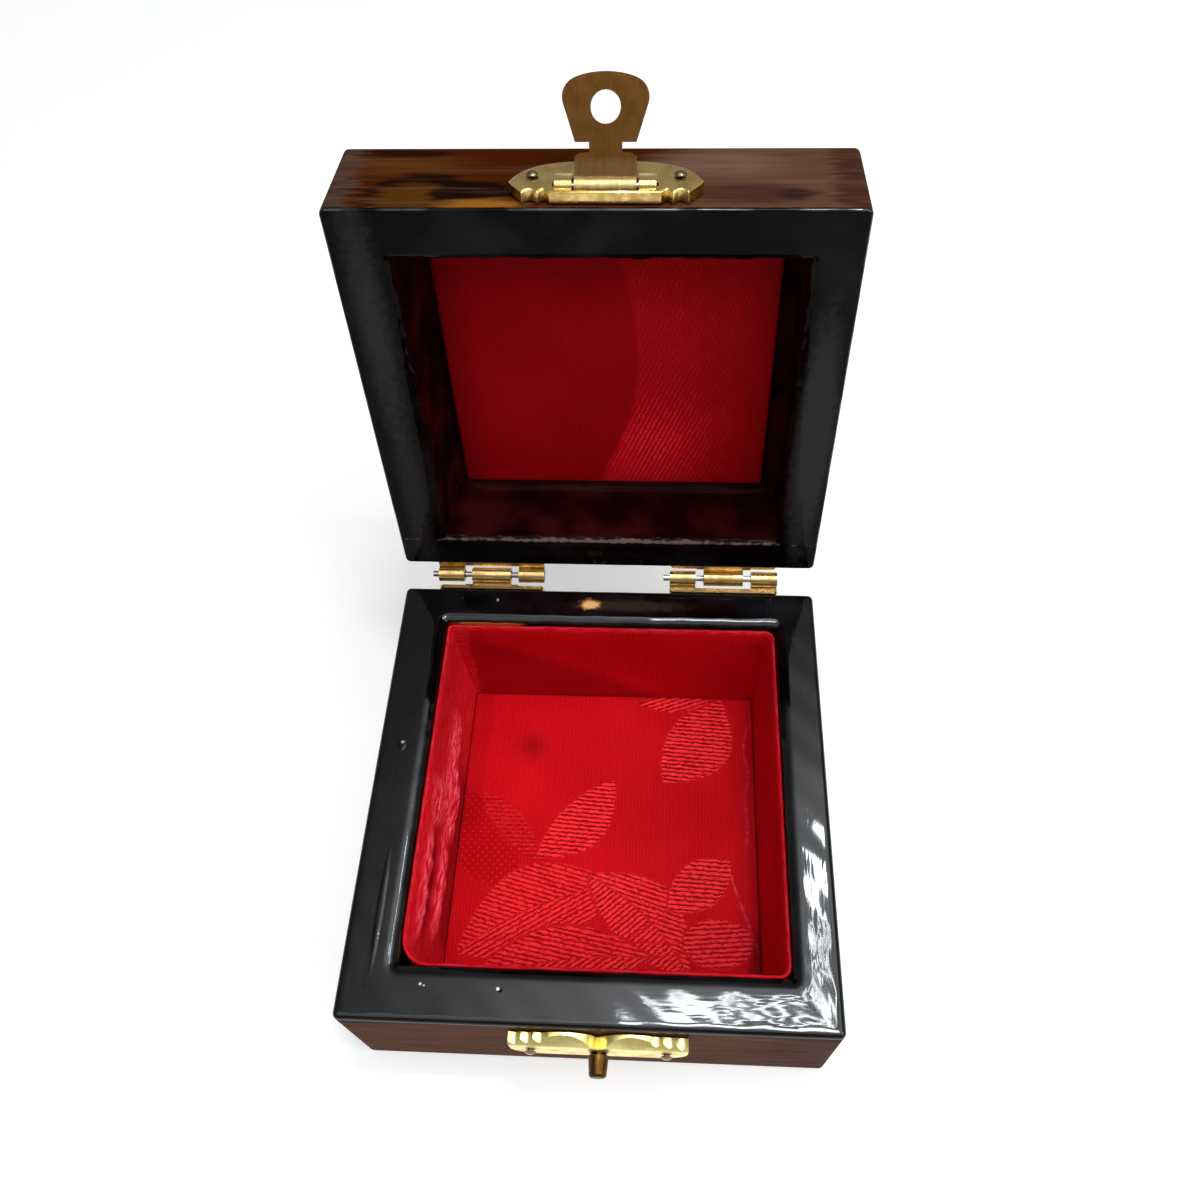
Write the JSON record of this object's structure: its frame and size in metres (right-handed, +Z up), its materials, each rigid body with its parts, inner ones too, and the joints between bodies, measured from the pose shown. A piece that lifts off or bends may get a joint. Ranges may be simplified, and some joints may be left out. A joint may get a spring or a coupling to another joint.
{
  "type": "lacquered jewelry box",
  "caption": "Small lacquered wooden box with a hinged lid, silk covered lining, barrel hinges and a swinging hasp leaf that drops over a post.",
  "frame": {"origin": "middle of the underside", "axes": "+Z up, front with the post towards -Y, lid hinges at +Y, +X to the right seen from the front"},
  "size_m": [0.076, 0.1105, 0.1184],
  "materials": {
    "lacquered_wood": "thick gloss lacquer, nearly black on the rims and red brown on the faces",
    "silk": "red woven silk with a leaf and petal damask",
    "brass": "aged satin",
    "steel": "dull grey"
  },
  "bodies": {
    "base": {"base_front_board": "lacquered_wood", "base_back_board": "lacquered_wood", "base_left_board": "lacquered_wood", "base_right_board": "lacquered_wood", "base_floor_panel": "lacquered_wood", "base_lining_band": "silk", "base_lining_floor": "silk", "hasp_post_plate": "brass", "hasp_post": "brass", "post_plate_nail_left": "brass", "post_plate_nail_right": "brass", "hinge_left_base_leaf": "brass", "hinge_left_base_nail_left": "brass", "hinge_left_base_nail_right": "brass", "hinge_right_base_leaf": "brass", "hinge_right_base_nail_left": "brass", "hinge_right_base_nail_right": "brass", "hinge_right_pin": "steel"},
    "lid": {"lid_front_board": "lacquered_wood", "lid_back_board": "lacquered_wood", "lid_left_board": "lacquered_wood", "lid_right_board": "lacquered_wood", "lid_top_panel": "lacquered_wood", "lid_lining_card": "silk", "hasp_plate": "brass", "hasp_pin": "steel", "hasp_plate_nail_left": "brass", "hasp_plate_nail_right": "brass", "hinge_left_lid_leaf": "brass", "hinge_left_lid_nail_left": "brass", "hinge_left_lid_nail_right": "brass", "hinge_left_pin": "steel", "hinge_right_lid_leaf": "brass", "hinge_right_lid_nail_left": "brass", "hinge_right_lid_nail_right": "brass"},
    "hasp": {"hasp_leaf": "brass"}
  },
  "joints": [
    {"name": "lid_hinge", "type": "hinge", "parent": "base", "child": "lid", "pos_m": [0, 0.0404, 0.0287], "axis": [1, 0, 0], "range_deg": [0, 97.5]},
    {"name": "hasp_hinge", "type": "hinge", "parent": "lid", "child": "hasp", "pos_m": [0.0017, 0.05389, 0.10741], "axis": [1, 0, 0], "range_deg": [0, 122]}
  ]
}
